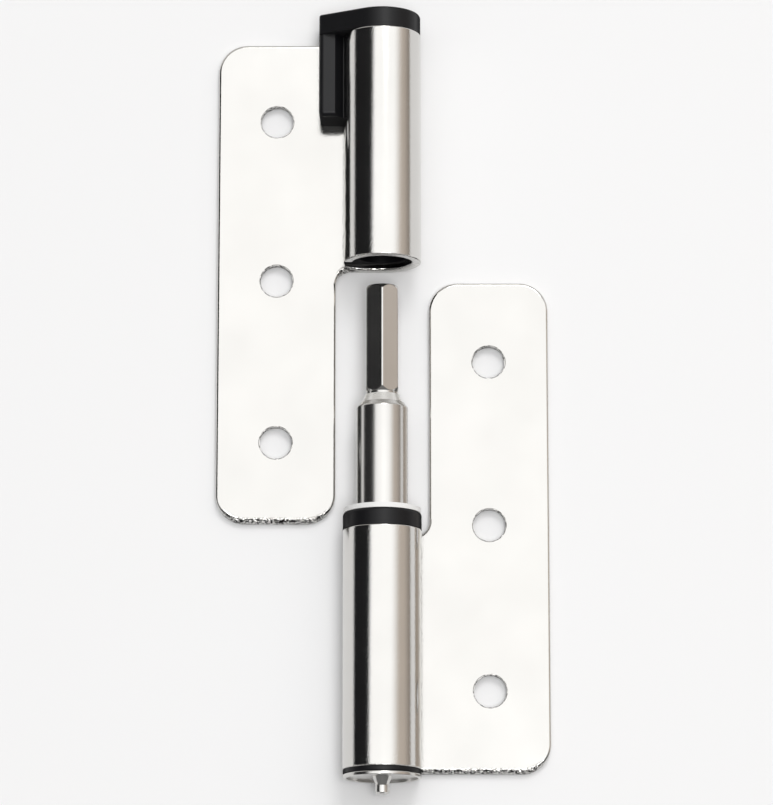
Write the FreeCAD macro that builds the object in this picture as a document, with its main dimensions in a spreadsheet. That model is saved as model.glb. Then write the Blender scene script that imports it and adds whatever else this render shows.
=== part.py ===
import FreeCAD, Part
import math
import os

import Sketcher
from FreeCAD import Rotation, Vector

# Lift off hinge with a rotary damper in its lower knuckle, in millimetres.
# It lies on its back with the upper half lifted off: +Y runs along the pin
# axis towards the capped end, +Z out of the leaves' faces, and z = 0 is the
# plane that both leaves' backs lie in.

SIZES = (
    # The leaf: one pressing, used twice
    ("leaf_length", 102.0, "leaf from end to end, along the pin"),
    ("leaf_outer", 34.2, "pin axis to the leaf's outer edge"),
    ("leaf_gap", 1.6, "other knuckle's side to the leaf's inner edge"),
    ("sheet_thickness", 2.0, "sheet that the leaf is pressed from"),
    ("corner_radius", 6.0, "leaf corners"),
    ("notch_radius", 3.0, "inside corner where the knuckle strip leaves the leaf"),
    ("front_round", 0.6, "rolled over edge round the leaf's face"),
    ("back_round", 0.3, "broken edge round the leaf's back and the knuckle's ends"),
    ("barrel_radius", 8.0, "outside of the rolled knuckle, and height of the pin axis"),
    ("hole_radius", 3.3, "screw holes"),
    ("hole_break", 0.4, "broken edge at the front of a screw hole"),
    ("hole_line", 21.9, "pin axis to the line of screw holes"),
    ("hole_end", 16.8, "leaf end to the first screw hole"),
    ("hole_count", 3.0, "screw holes in a leaf"),
    # Clearances
    ("seat_gap", 0.05, "radial and end clearance of pieces that sit still"),
    ("running_gap", 0.05, "radial clearance of pieces that turn or slide"),
    ("key_gap", 0.15, "moulded keys to the seam that they fill"),
    # The capped end of the upper knuckle
    ("cap_flange", 4.2, "cap above the knuckle's end"),
    ("cap_inset", 0.1, "cap's round side inside the knuckle's outside"),
    ("cap_round", 0.5, "cap's top edge"),
    ("arm_width", 5.1, "knuckle's side to the outer side of the cap's arm"),
    ("arm_flat", 3.3, "flat front of the arm"),
    ("arm_front", 1.8, "arm's front above the pin axis"),
    ("arm_length", 17.6, "arm below the knuckle's end"),
    ("arm_draft", 1.0, "moulding draft on the arm's outer side, in degrees"),
    ("arm_round", 1.0, "arm's edges"),
    ("corner_round", 0.8, "cap's corner above the arm"),
    ("socket_gap", 0.07, "hexagon socket to the spindle, each side"),
    ("socket_lead", 0.7, "spigot's end to the foot of the spindle's hexagon"),
    ("socket_room", 0.3, "top of the spindle to the bottom of its socket"),
    ("bush_recess", 1.5, "upper bush inside the mouth of its knuckle"),
    ("lift", 51.4, "how far the upper half is drawn off at rest"),
    # The middle of the hinge
    ("collar_flange", 3.4, "black collar between the knuckles"),
    ("collar_round", 0.6, "collar's upper edge"),
    ("collar_sleeve", 20.0, "collar inside the lower knuckle"),
    ("washer_thickness", 1.0, "thrust washer"),
    ("washer_inset", 0.2, "thrust washer inside the knuckle's outside"),
    # The damper cartridge
    ("bush_wall", 0.75, "knuckle's bore to the cartridge tube"),
    ("tube_wall", 0.6, "wall of the cartridge tube"),
    ("tube_stand", 21.9, "tube above the seat of the upper half"),
    ("crimp_height", 1.0, "rolled in mouth of the tube"),
    ("crimp_inset", 0.7, "how far the mouth is rolled in"),
    ("lip_width", 0.95, "tube's outside to the inside of the rolled mouth"),
    ("lip_land", 0.35, "straight part of the rolled mouth"),
    ("lip_slope", 0.6, "sloping shoulder under the rolled mouth"),
    ("foot_lip", 1.6, "tube's outside to the hole in its drawn foot"),
    ("bearing_length", 17.0, "bearing cap inside the tube"),
    ("bearing_wall", 1.45, "bearing cap from the spindle to the tube"),
    ("cone_height", 1.7, "bearing cap's cone above the tube"),
    ("cone_land", 0.3, "top of the cone, round the spindle"),
    ("neck_height", 0.5, "round neck of the spindle above the cone"),
    ("hex_stand", 0.1, "hexagon's flats over the spindle's round, across both"),
    ("hex_cover", 2.4, "top of the hexagon below the knuckle's capped end"),
    ("hex_chamfer", 1.0, "chamfered ends of the hexagon, along the pin"),
    ("hex_edge", 0.45, "worn down long edges of the hexagon"),
    ("flange_gap", 0.15, "spindle's thrust flange to the tube's bore"),
    ("flange_thickness", 2.0, "spindle's thrust flange"),
    ("ring_thickness", 0.8, "thrust ring over that flange"),
    ("core_step", 0.8, "spindle's bearing to its core in the oil chamber"),
    ("vane_width", 1.6, "vane on the spindle"),
    ("shoe_width", 0.9, "valve shoe beside the vane"),
    ("rib_width", 2.2, "fixed rib in the oil chamber"),
    ("liner_wall", 0.62, "wall of the chamber liner"),
    ("journal_step", 0.2, "spindle's core to its lower journal"),
    ("journal_length", 3.0, "spindle's lower journal"),
    ("plug_length", 11.0, "plug at the foot of the tube"),
    ("seal_section", 0.66, "thickness of the seal rings"),
    ("seal_groove", 1.3, "width of the seals' grooves"),
    # The closed end of the lower knuckle
    ("foot_sleeve", 14.0, "foot bush inside the lower knuckle"),
    ("foot_flange", 0.9, "foot bush's flange under the knuckle's end"),
    ("foot_round", 0.2, "edge of that flange"),
    ("disc_thickness", 0.4, "pressed end disc under that flange"),
    ("disc_inset", 0.1, "end disc inside the knuckle's outside"),
    ("disc_rim", 0.45, "how far the disc's rim is turned down"),
    ("rim_wall", 0.7, "wall of that rim"),
    ("disc_round", 0.3, "end disc's upper edge"),
    ("rim_round", 0.15, "rim's lower edge"),
    ("screw_radius", 1.2, "end screw's shank"),
    ("screw_grip", 3.4, "end screw inside the plug"),
    ("head_radius", 2.05, "end screw's head, at the disc"),
    ("head_height", 1.8, "conical part of that head"),
    ("waist_radius", 1.25, "narrow end of that cone"),
    ("stub_radius", 1.45, "stub at the end of the screw"),
    ("stub_length", 1.7, "stub at the end of the screw"),
    ("stub_chamfer", 0.25, "stub's end"),
)


class Size:
    """A length with the sheet expression that keeps it tied to its cells."""

    def __init__(self, value, text):
        self.value = float(value)
        self.text = text

    @staticmethod
    def of(other):
        """Return other as a Size, so that plain numbers can take part."""
        return other if isinstance(other, Size) else Size(other, repr(float(other)))

    def __add__(self, other):
        other = Size.of(other)
        return Size(self.value + other.value, f"({self.text} + {other.text})")

    def __sub__(self, other):
        other = Size.of(other)
        return Size(self.value - other.value, f"({self.text} - {other.text})")

    def __rsub__(self, other):
        return Size.of(other) - self

    def __mul__(self, other):
        other = Size.of(other)
        return Size(self.value * other.value, f"({self.text} * {other.text})")

    def __truediv__(self, other):
        other = Size.of(other)
        return Size(self.value / other.value, f"({self.text} / {other.text})")

    def __neg__(self):
        return Size(-self.value, f"(-1 * {self.text})")

    def root(self):
        """Return the square root."""
        return Size(math.sqrt(self.value), f"sqrt({self.text})")

    def at_least(self, other):
        """Return the larger of the two."""
        return Size(max(self.value, other.value), f"max({self.text}; {other.text})")


ZERO = Size(0.0, "0.0")
ABOUT_PIN = "V_Axis"
MISS = 1e-4
CORNER_OVER_FLAT = 1 / math.sqrt(3.0)

doc = FreeCAD.newDocument("lift_off_hinge")


def fill_sheet(name):
    """Write every driving size to a sheet, and return the sizes by name."""
    sheet = doc.addObject("Spreadsheet::Sheet", name)
    sizes = {}
    for row, (alias, value, meaning) in enumerate(SIZES, start=1):
        sheet.set(f"A{row}", alias)
        sheet.set(f"B{row}", str(value))
        sheet.setAlias(f"B{row}", alias)
        sheet.set(f"C{row}", meaning)
        sizes[alias] = Size(value, f"{name}.{alias}")
    doc.recompute()
    return sizes


S = fill_sheet("Sizes")

# Radii that follow from their neighbours
BORE = S["barrel_radius"] - S["sheet_thickness"]
SLEEVE = BORE - S["seat_gap"]
TUBE = BORE - S["bush_wall"]
TUBE_BORE = TUBE - S["tube_wall"]
LIP = TUBE - S["lip_width"]
FOOT_LIP = TUBE - S["foot_lip"]
INSERT = TUBE_BORE - S["seat_gap"]
CHAMBER = INSERT - S["liner_wall"]
FLANGE = TUBE_BORE - S["flange_gap"]
SHAFT = TUBE_BORE - S["bearing_wall"]
SHAFT_BORE = SHAFT + S["running_gap"]
CORE = SHAFT - S["core_step"]
JOURNAL = CORE - S["journal_step"]
HEX_FLATS = SHAFT * 2 + S["hex_stand"]
SEAL_ROOM = S["seal_section"] + S["seat_gap"]
LEAF_INNER = S["barrel_radius"] + S["leaf_gap"]

# Levels along the pin, from the lower leaf's lower end
KNUCKLE = (S["leaf_length"] - S["collar_flange"] - S["washer_thickness"]) / 2
SEAT = S["leaf_length"] - KNUCKLE
MOUTH = SEAT + S["tube_stand"]
CONE_TOP = MOUTH + S["cone_height"]
HEX_FOOT = CONE_TOP + S["neck_height"]
HEX_TOP = S["leaf_length"] - S["hex_cover"]
DISC_FOOT = -(S["foot_flange"] + S["disc_thickness"])
RIM_FOOT = DISC_FOOT - S["disc_rim"]
TAIL_END = S["head_height"] + S["stub_length"] - DISC_FOOT
MIDDLE = (S["leaf_length"] + S["lift"] + S["cap_flange"] - TAIL_END) / 2

# The same levels from the capped end, for the pieces of the upper half
SPIGOT_END = S["leaf_length"] - HEX_FOOT - S["socket_lead"]
BUSH_FOOT = SPIGOT_END.at_least(S["arm_length"]) + S["socket_room"]

# Levels inside the cartridge, from its foot and from its mouth
TUBE_FOOT = S["seat_gap"] - S["foot_flange"]
PLUG_FOOT = TUBE_FOOT + S["tube_wall"]
PLUG_TOP = PLUG_FOOT + S["plug_length"]
LINER_FOOT = PLUG_TOP + S["seat_gap"]
BEARING_FOOT = MOUTH - S["bearing_length"]
RING_FOOT = BEARING_FOOT - S["seat_gap"] - S["ring_thickness"]
FLANGE_TOP = RING_FOOT - S["seat_gap"]
FLANGE_FOOT = FLANGE_TOP - S["flange_thickness"]
LINER_TOP = FLANGE_FOOT - S["seat_gap"]
SHOULDER = MOUTH - S["lip_land"] - S["lip_slope"]


def new_body(label):
    """Return an empty body with that label."""
    body = doc.addObject("PartDesign::Body", label)
    body.Label = label
    return body


def new_sketch(body, name, role, offset=ZERO):
    """Return a sketch on one of the body's own planes, moved along its normal."""
    plane = [f for f in body.Origin.OriginFeatures if f.Role == role][0]
    sketch = body.newObject("Sketcher::SketchObject", name)
    sketch.AttachmentSupport = [(plane, "")]
    sketch.MapMode = "FlatFace"
    sketch.setExpression("AttachmentOffset.Base.z", offset.text)
    return sketch


def pin_point(sketch, index, part, x, y):
    """Hold one point of a sketch at two sizes from the sketch's origin."""
    for way, size in (("DistanceX", x), ("DistanceY", y)):
        held = Sketcher.Constraint(way, -1, 1, index, part, size.value)
        number = sketch.addConstraint(held)
        sketch.setExpression(f"Constraints[{number}]", size.text)


def draw_outline(sketch, points):
    """Draw a closed outline of straight lines through points of two sizes."""
    points = [(Size.of(x), Size.of(y)) for x, y in points]
    corners = [Vector(x.value, y.value, 0) for x, y in points]
    first = sketch.GeometryCount
    count = len(corners)
    for i in range(count):
        line = Part.LineSegment(corners[i], corners[(i + 1) % count])
        sketch.addGeometry(line, False)
    for i in range(count):
        after = first + (i + 1) % count
        sketch.addConstraint(Sketcher.Constraint("Coincident", first + i, 2, after, 1))
    for i, (x, y) in enumerate(points):
        pin_point(sketch, first + i, 1, x, y)


def draw_box(sketch, left, right, low, high):
    """Draw a rectangle."""
    draw_outline(sketch, ((left, low), (right, low), (right, high), (left, high)))


def draw_circle(sketch, radius, x=ZERO, y=ZERO):
    """Draw a circle of that radius."""
    centre = Vector(x.value, y.value, 0)
    circle = Part.Circle(centre, Vector(0, 0, 1), radius.value)
    index = sketch.addGeometry(circle, False)
    pin_point(sketch, index, 3, x, y)
    number = sketch.addConstraint(Sketcher.Constraint("Radius", index, radius.value))
    sketch.setExpression(f"Constraints[{number}]", radius.text)


def draw_hexagon(sketch, flats):
    """Draw a hexagon about the pin with a corner to the front."""
    half = flats / 2
    corner = flats * CORNER_OVER_FLAT
    side = corner / 2
    draw_outline(sketch, (
        (ZERO, corner), (-half, side), (-half, -side),
        (ZERO, -corner), (half, -side), (half, side),
    ))


def extrude(body, name, sketch, length, kind="Pad", reverse=False):
    """Add or cut a prism, and return the feature."""
    feature = body.newObject(f"PartDesign::{kind}", name)
    feature.Profile = sketch
    feature.Reversed = reverse
    feature.setExpression("Length", length.text)
    sketch.Visibility = False
    doc.recompute()
    return feature


def along_pin(body, name, start, length, draw, kind="Pad"):
    """Add or cut a prism along the pin: draw() fills its section."""
    sketch = new_sketch(body, name + "_section", "XZ_Plane", -start)
    draw(sketch)
    return extrude(body, name, sketch, length, kind, reverse=(kind == "Pad"))


def turn(body, name, points, kind="Revolution"):
    """Turn an outline of (radius, level) points about the pin."""
    sketch = new_sketch(body, name + "_profile", "XY_Plane")
    draw_outline(sketch, points)
    feature = body.newObject(f"PartDesign::{kind}", name)
    feature.Profile = sketch
    feature.ReferenceAxis = (sketch, [ABOUT_PIN])
    feature.Angle = 360.0
    sketch.Visibility = False
    doc.recompute()
    return feature


def round_edges(body, name, radius, wanted):
    """Round the edges of the body's tip for which wanted(edge) is true."""
    base = body.Tip
    names = [f"Edge{i}" for i, e in enumerate(base.Shape.Edges, start=1) if wanted(e)]
    if not names:
        raise ValueError(f"{body.Label}: no edge for {name}")
    fillet = body.newObject("PartDesign::Fillet", name)
    fillet.Base = (base, names)
    fillet.setExpression("Radius", radius.text)
    doc.recompute()
    return fillet


def near(value, size):
    """Say whether a number is at a size."""
    return abs(value - Size.of(size).value) < MISS


def is_rim(edge, radius, level):
    """Say whether an edge is a circle about the pin at that level."""
    curve = edge.Curve
    return (
        isinstance(curve, Part.Circle)
        and near(curve.Radius, radius)
        and near(curve.Center.y, level)
        and near(curve.Center.x, ZERO)
    )


def place_lower(piece, on_pin=True):
    """Put a piece in the lower half, which stays on the frame."""
    piece.setExpression("Placement.Base.y", (-MIDDLE).text)
    if on_pin:
        piece.setExpression("Placement.Base.z", S["barrel_radius"].text)


def place_upper(piece, on_pin=True):
    """Put a piece in the upper half, turned end for end and lifted off."""
    piece.Placement = FreeCAD.Placement(Vector(), Rotation(Vector(0, 0, 1), 180))
    level = S["leaf_length"] + S["lift"] - MIDDLE
    piece.setExpression("Placement.Base.y", level.text)
    if on_pin:
        piece.setExpression("Placement.Base.z", S["barrel_radius"].text)


# The pressed leaf with its rolled knuckle

def leaf_corner(edge, x, y):
    """Say whether an edge stands through the sheet at that corner."""
    ends = [v.Point for v in edge.Vertexes]
    return len(ends) == 2 and all(near(p.x, x) and near(p.y, y) for p in ends)


def draw_curl(sketch):
    """Draw the knuckle's section: three quarters of a ring, open to its leaf."""
    height = S["barrel_radius"]
    centre = Vector(0, height.value, 0)
    rings = []
    for radius in (S["barrel_radius"], BORE):
        circle = Part.Circle(centre, Vector(0, 0, 1), radius.value)
        arc = sketch.addGeometry(Part.ArcOfCircle(circle, 0, 1.5 * math.pi), False)
        pin_point(sketch, arc, 3, ZERO, height)
        number = sketch.addConstraint(Sketcher.Constraint("Radius", arc, radius.value))
        sketch.setExpression(f"Constraints[{number}]", radius.text)
        rings.append((arc, radius))
    (outer, _), (inner, _) = rings
    starts = [Vector(radius.value, height.value, 0) for _, radius in rings]
    ends = [Vector(0, height.value - radius.value, 0) for _, radius in rings]
    for point, corners in ((1, starts), (2, ends)):
        line = sketch.addGeometry(Part.LineSegment(*corners), False)
        for corner, arc in ((1, outer), (2, inner)):
            sketch.addConstraint(Sketcher.Constraint("Coincident", line, corner, arc, point))
        sketch.addConstraint(Sketcher.Constraint("Horizontal" if point == 1 else "Vertical", line))
    level = sketch.addConstraint(Sketcher.Constraint("DistanceY", -1, 1, outer, 1, height.value))
    sketch.setExpression(f"Constraints[{level}]", height.text)
    sketch.addConstraint(Sketcher.Constraint("DistanceX", -1, 1, outer, 2, 0.0))


def make_leaf(label):
    """One pressing: flat leaf, strip and open rolled knuckle, with its holes."""
    body = new_body(label)
    outer, inner, end = S["leaf_outer"], LEAF_INNER, S["leaf_length"]
    blank = new_sketch(body, label + "_blank", "XY_Plane")
    draw_outline(blank, (
        (ZERO, ZERO), (outer, ZERO), (outer, end),
        (inner, end), (inner, KNUCKLE), (ZERO, KNUCKLE),
    ))
    extrude(body, label + "_sheet", blank, S["sheet_thickness"])
    round_edges(body, label + "_corners", S["corner_radius"], lambda e: (
        leaf_corner(e, outer, ZERO) or leaf_corner(e, outer, end) or leaf_corner(e, inner, end)))
    round_edges(body, label + "_notch", S["notch_radius"],
                lambda e: leaf_corner(e, inner, KNUCKLE))
    round_edges(body, label + "_front", S["front_round"],
                lambda e: lies_at(e, S["sheet_thickness"]) and e.BoundBox.XMax > MISS)

    hole = new_sketch(body, label + "_hole_place", "XY_Plane", S["sheet_thickness"])
    draw_circle(hole, S["hole_radius"], S["hole_line"], S["hole_end"])
    drilled = extrude(body, label + "_hole", hole, S["sheet_thickness"], "Pocket")
    row = body.newObject("PartDesign::LinearPattern", label + "_holes")
    row.Originals = [drilled]
    row.Direction = (hole, ["V_Axis"])
    row.setExpression("Length", (end - S["hole_end"] * 2).text)
    row.setExpression("Occurrences", S["hole_count"].text)
    body.Tip = row
    doc.recompute()
    round_edges(body, label + "_hole_breaks", S["hole_break"],
                lambda e: is_hole(e) and near(e.Curve.Center.z, S["sheet_thickness"]))

    along_pin(body, label + "_curl", ZERO, KNUCKLE, draw_curl)
    round_edges(body, label + "_back", S["back_round"], lambda e: (
        is_end_arc(e) or (lies_at(e, ZERO) and not is_hole(e) and e.BoundBox.XMax > MISS)))
    return body


def lies_at(edge, level):
    """Say whether an edge lies flat at that height over the leaf's back."""
    box = edge.BoundBox
    return box.ZLength < MISS and near(box.ZMin, level)


def is_hole(edge):
    """Say whether an edge is a rim of a screw hole."""
    return isinstance(edge.Curve, Part.Circle) and near(edge.Curve.Radius, S["hole_radius"])


def is_end_arc(edge):
    """Say whether an edge is an arc of the knuckle's end, inside or outside."""
    curve = edge.Curve
    return (
        isinstance(curve, Part.Circle)
        and (near(curve.Radius, S["barrel_radius"]) or near(curve.Radius, BORE))
        and (near(curve.Center.y, ZERO) or near(curve.Center.y, KNUCKLE))
    )


# Moulded pieces that fill the seam of a knuckle

def draw_key(sketch):
    """Draw the key that fills the knuckle's seam, from the pin outwards."""
    draw_box(sketch, ZERO, S["barrel_radius"] - S["key_gap"],
             S["key_gap"] - BORE, -S["key_gap"])


def make_sleeve(label, start, length, bore):
    """A keyed sleeve for the inside of a knuckle."""
    body = new_body(label)
    along_pin(body, label + "_wall", start, length,
              lambda sketch: draw_circle(sketch, SLEEVE))
    along_pin(body, label + "_key", start, length, draw_key)
    along_pin(body, label + "_bore", start, length,
              lambda sketch: draw_circle(sketch, bore), "Pocket")
    return body


def make_cap():
    """The moulded cap: teardrop flange, arm, web and spigot with its socket."""
    body = new_body("upper_cap")
    reach = S["barrel_radius"] + S["arm_width"]
    corner, radius = S["arm_front"], S["barrel_radius"] - S["cap_inset"]
    square = reach * reach + corner * corner
    along = radius * radius / square
    across = radius * (square - radius * radius).root() / square
    touch_x = along * reach - across * corner
    touch_z = along * corner + across * reach
    low = S["key_gap"] - BORE
    web = -S["key_gap"]
    beside = S["barrel_radius"] + S["key_gap"]
    along_pin(body, "cap_arm", ZERO, S["arm_length"],
              lambda sketch: draw_outline(sketch, (
                  (ZERO, low), (reach, low), (reach, corner),
                  (reach - S["arm_flat"], corner), (beside, web), (ZERO, web))))
    slope_side(body, "cap_arm_draft", reach)
    round_edges(body, "cap_arm_edges", S["arm_round"], lambda e: is_arm_edge(e, reach))

    flange = S["cap_flange"]
    along_pin(body, "cap_round_side", -flange, flange,
              lambda sketch: draw_circle(sketch, radius))
    along_pin(body, "cap_corner_side", -flange, flange,
              lambda sketch: draw_outline(sketch, (
                  (ZERO, -radius), (reach, -radius), (reach, corner),
                  (touch_x, touch_z), (ZERO, ZERO))))
    round_edges(body, "cap_corner", S["corner_round"],
                lambda e: stands_at(e, reach, corner))
    round_edges(body, "cap_rim", S["cap_round"], lambda e: all(
        near(v.Y, -flange) for v in e.Vertexes))
    along_pin(body, "cap_spigot", ZERO, SPIGOT_END,
              lambda sketch: draw_circle(sketch, SLEEVE))
    socket_top = S["hex_cover"] - S["socket_room"]
    along_pin(body, "cap_socket", socket_top, SPIGOT_END - socket_top,
              lambda sketch: draw_hexagon(sketch, HEX_FLATS + S["socket_gap"] * 2),
              "Pocket")
    return body


def slope_side(body, name, reach):
    """Give the arm's outer side its moulding draft, away from the flange."""
    base = body.Tip
    faces = [f"Face{i}" for i, f in enumerate(base.Shape.Faces, start=1)
             if all(near(v.X, reach) for v in f.Vertexes)]
    plane = [f for f in body.Origin.OriginFeatures if f.Role == "XZ_Plane"][0]
    draft = body.newObject("PartDesign::Draft", name)
    draft.Base = (base, faces)
    draft.NeutralPlane = (plane, [""])
    draft.setExpression("Angle", S["arm_draft"].text)
    doc.recompute()
    return draft


def stands_at(edge, x, z):
    """Say whether an edge runs along the pin at that place."""
    return all(near(v.X, x) and near(v.Z, z) for v in edge.Vertexes)


def is_arm_edge(edge, reach):
    """Say whether an edge is the arm's long front edge, or at its end."""
    ends = [v.Point for v in edge.Vertexes]
    at_end = all(near(p.y, S["arm_length"]) for p in ends)
    front = all(near(p.z, S["arm_front"]) for p in ends)
    side = all(p.x > (reach - S["arm_round"]).value for p in ends)
    return (at_end and (front or side)) or (front and side)


def make_collar():
    """The flanged and keyed bush between the knuckles."""
    start = KNUCKLE - S["collar_sleeve"]
    bore = TUBE + S["running_gap"]
    body = new_body("lower_collar")
    along_pin(body, "collar_wall", start, S["collar_sleeve"],
              lambda sketch: draw_circle(sketch, SLEEVE))
    along_pin(body, "collar_key", start, S["collar_sleeve"], draw_key)
    along_pin(body, "collar_rim", KNUCKLE, S["collar_flange"],
              lambda sketch: draw_circle(sketch, S["barrel_radius"]))
    along_pin(body, "collar_bore", start, S["collar_sleeve"] + S["collar_flange"],
              lambda sketch: draw_circle(sketch, bore), "Pocket")
    top = KNUCKLE + S["collar_flange"]
    round_edges(body, "collar_edge", S["collar_round"],
                lambda e: is_rim(e, S["barrel_radius"], top))
    return body


def make_washer():
    """The plain thrust washer that carries the upper half."""
    body = new_body("thrust_washer")
    foot = KNUCKLE + S["collar_flange"]
    bore = TUBE + S["running_gap"]
    outside = S["barrel_radius"] - S["washer_inset"]
    turn(body, "washer_ring", ((bore, foot), (outside, foot), (outside, SEAT), (bore, SEAT)))
    return body


# The damper cartridge

def make_tube():
    """The cartridge's tube: drawn foot, straight wall and rolled in mouth."""
    body = new_body("damper_tube")
    turn(body, "tube_shell", (
        (FOOT_LIP, TUBE_FOOT), (TUBE, TUBE_FOOT),
        (TUBE, MOUTH - S["crimp_height"]), (TUBE - S["crimp_inset"], MOUTH),
        (LIP, MOUTH), (LIP, MOUTH - S["lip_land"]),
        (TUBE_BORE, SHOULDER), (TUBE_BORE, PLUG_FOOT), (FOOT_LIP, PLUG_FOOT)))
    round_edges(body, "tube_crimp", S["crimp_height"] / 2,
                lambda e: is_rim(e, TUBE, MOUTH - S["crimp_height"]))
    return body


def seal_grooves():
    """Levels at which the three seal rings' grooves begin."""
    return {
        "gland_seal": BEARING_FOOT + S["seal_groove"] * 2,
        "shaft_seal": BEARING_FOOT + S["seal_groove"] * 5,
        "plug_seal": PLUG_FOOT + S["plug_length"] / 2,
    }


def make_bearing():
    """The bearing cap under the rolled mouth, with its cone outside."""
    body = new_body("bearing_cap")
    outside = seal_grooves()["gland_seal"]
    inside = seal_grooves()["shaft_seal"]
    floor = TUBE_BORE - SEAL_ROOM
    roof = SHAFT_BORE + SEAL_ROOM
    under_lip = LIP - S["seat_gap"]
    turn(body, "bearing_body", (
        (SHAFT_BORE, BEARING_FOOT), (INSERT, BEARING_FOOT),
        (INSERT, outside), (floor, outside),
        (floor, outside + S["seal_groove"]), (INSERT, outside + S["seal_groove"]),
        (INSERT, SHOULDER - S["seat_gap"]),
        (under_lip, MOUTH - S["lip_land"] - S["seat_gap"]),
        (under_lip, MOUTH), (SHAFT + S["cone_land"], CONE_TOP), (SHAFT_BORE, CONE_TOP),
        (SHAFT_BORE, inside + S["seal_groove"]), (roof, inside + S["seal_groove"]),
        (roof, inside), (SHAFT_BORE, inside)))
    return body


def make_spindle():
    """The spindle: hexagon, bearing journal, thrust flange, core and vane."""
    body = new_body("spindle")
    journal_foot = PLUG_TOP - S["journal_length"]
    core_foot = LINER_FOOT + S["running_gap"]
    turn(body, "spindle_round", (
        (ZERO, journal_foot), (JOURNAL, journal_foot),
        (JOURNAL, core_foot), (CORE, core_foot), (CORE, FLANGE_FOOT),
        (FLANGE, FLANGE_FOOT), (FLANGE, FLANGE_TOP),
        (SHAFT, FLANGE_TOP), (SHAFT, HEX_FOOT), (ZERO, HEX_FOOT)))
    half = S["vane_width"] / 2
    along_pin(body, "spindle_vane", core_foot, FLANGE_FOOT - core_foot,
              lambda sketch: draw_box(sketch, -swept_reach(half), ZERO, -half, half))
    along_pin(body, "spindle_hexagon", HEX_FOOT, HEX_TOP - HEX_FOOT,
              lambda sketch: draw_hexagon(sketch, HEX_FLATS))
    corner = HEX_FLATS * CORNER_OVER_FLAT
    round_edges(body, "spindle_hexagon_edges", S["hex_edge"], lambda e: all(
        near(math.hypot(v.X, v.Z), corner) for v in e.Vertexes) and e.BoundBox.YLength > MISS)
    outside = corner * 2
    drop = (outside - SHAFT) * (S["hex_chamfer"] / (corner - SHAFT))
    turn(body, "spindle_top_chamfer", (
        (SHAFT, HEX_TOP), (outside, HEX_TOP), (outside, HEX_TOP - drop)), "Groove")
    turn(body, "spindle_foot_chamfer", (
        (SHAFT, HEX_FOOT), (outside, HEX_FOOT), (outside, HEX_FOOT + drop)), "Groove")
    return body


def swept_reach(height):
    """Return how far out a point at that height may be and clear the chamber's wall."""
    swept = CHAMBER - S["running_gap"]
    return (swept * swept - height * height).root()


def make_shoe():
    """The valve shoe that the oil pushes against the vane one way only."""
    body = new_body("valve_shoe")
    low = S["vane_width"] / 2 + S["running_gap"]
    foot = LINER_FOOT + S["running_gap"] * 2
    high = low + S["shoe_width"]
    along_pin(body, "shoe_bar", foot, FLANGE_FOOT - S["running_gap"] - foot,
              lambda sketch: draw_box(sketch, -swept_reach(high), -(CORE + S["running_gap"]),
                                      low, high))
    return body


def make_liner():
    """The ribbed liner of the oil chamber."""
    body = new_body("chamber_liner")
    length = LINER_TOP - LINER_FOOT
    along_pin(body, "liner_wall", LINER_FOOT, length,
              lambda sketch: draw_circle(sketch, INSERT))
    along_pin(body, "liner_bore", LINER_FOOT, length,
              lambda sketch: draw_circle(sketch, CHAMBER), "Pocket")
    half = S["rib_width"] / 2
    inner = CORE + S["running_gap"] * 2
    along_pin(body, "liner_rib", LINER_FOOT, length,
              lambda sketch: draw_box(sketch, -half, half, -CHAMBER - S["liner_wall"] / 2, -inner))
    return body


def make_ring():
    """The thrust ring between the spindle's flange and the bearing cap."""
    body = new_body("thrust_ring")
    top = RING_FOOT + S["ring_thickness"]
    turn(body, "ring_washer", (
        (SHAFT_BORE, RING_FOOT), (FLANGE, RING_FOOT), (FLANGE, top), (SHAFT_BORE, top)))
    return body


def make_plug():
    """The plug in the tube's foot, with the spindle's lower bearing."""
    body = new_body("tube_plug")
    groove = seal_grooves()["plug_seal"]
    floor = TUBE_BORE - SEAL_ROOM
    nose = FOOT_LIP - S["seat_gap"]
    bearing = JOURNAL + S["running_gap"]
    bearing_foot = PLUG_TOP - S["journal_length"] - S["running_gap"]
    tapped = S["screw_radius"] + S["seat_gap"]
    tapped_top = TUBE_FOOT + S["screw_grip"] + S["seat_gap"]
    turn(body, "plug_body", (
        (tapped, TUBE_FOOT), (nose, TUBE_FOOT), (nose, PLUG_FOOT), (INSERT, PLUG_FOOT),
        (INSERT, groove), (floor, groove), (floor, groove + S["seal_groove"]),
        (INSERT, groove + S["seal_groove"]), (INSERT, PLUG_TOP), (bearing, PLUG_TOP),
        (bearing, bearing_foot), (ZERO, bearing_foot), (ZERO, tapped_top),
        (tapped, tapped_top)))
    return body


def make_seal(label, inner_radius):
    """A seal ring in its groove about the pin."""
    seal = doc.addObject("Part::Torus", label)
    seal.Label = label
    seal.setExpression("Radius1", (inner_radius + S["seal_section"] / 2).text)
    seal.setExpression("Radius2", (S["seal_section"] / 2).text)
    seal.Placement = FreeCAD.Placement(Vector(), Rotation(Vector(1, 0, 0), 90))
    level = seal_grooves()[label] + S["seal_groove"] / 2 - MIDDLE
    seal.setExpression("Placement.Base.y", level.text)
    seal.setExpression("Placement.Base.z", S["barrel_radius"].text)
    return seal


# The closed end of the lower knuckle

def make_foot_bush():
    """The flanged and keyed bush round the cartridge's foot."""
    flange = S["foot_flange"]
    body = make_sleeve("foot_bush", ZERO, S["foot_sleeve"], TUBE + S["running_gap"])
    along_pin(body, "foot_bush_flange", -flange, flange,
              lambda sketch: draw_circle(sketch, S["barrel_radius"] - S["cap_inset"]))
    round_edges(body, "foot_bush_edge", S["foot_round"],
                lambda e: is_rim(e, S["barrel_radius"] - S["cap_inset"], -flange))
    along_pin(body, "foot_bush_mouth", -flange, flange,
              lambda sketch: draw_circle(sketch, TUBE + S["running_gap"]), "Pocket")
    return body


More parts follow.
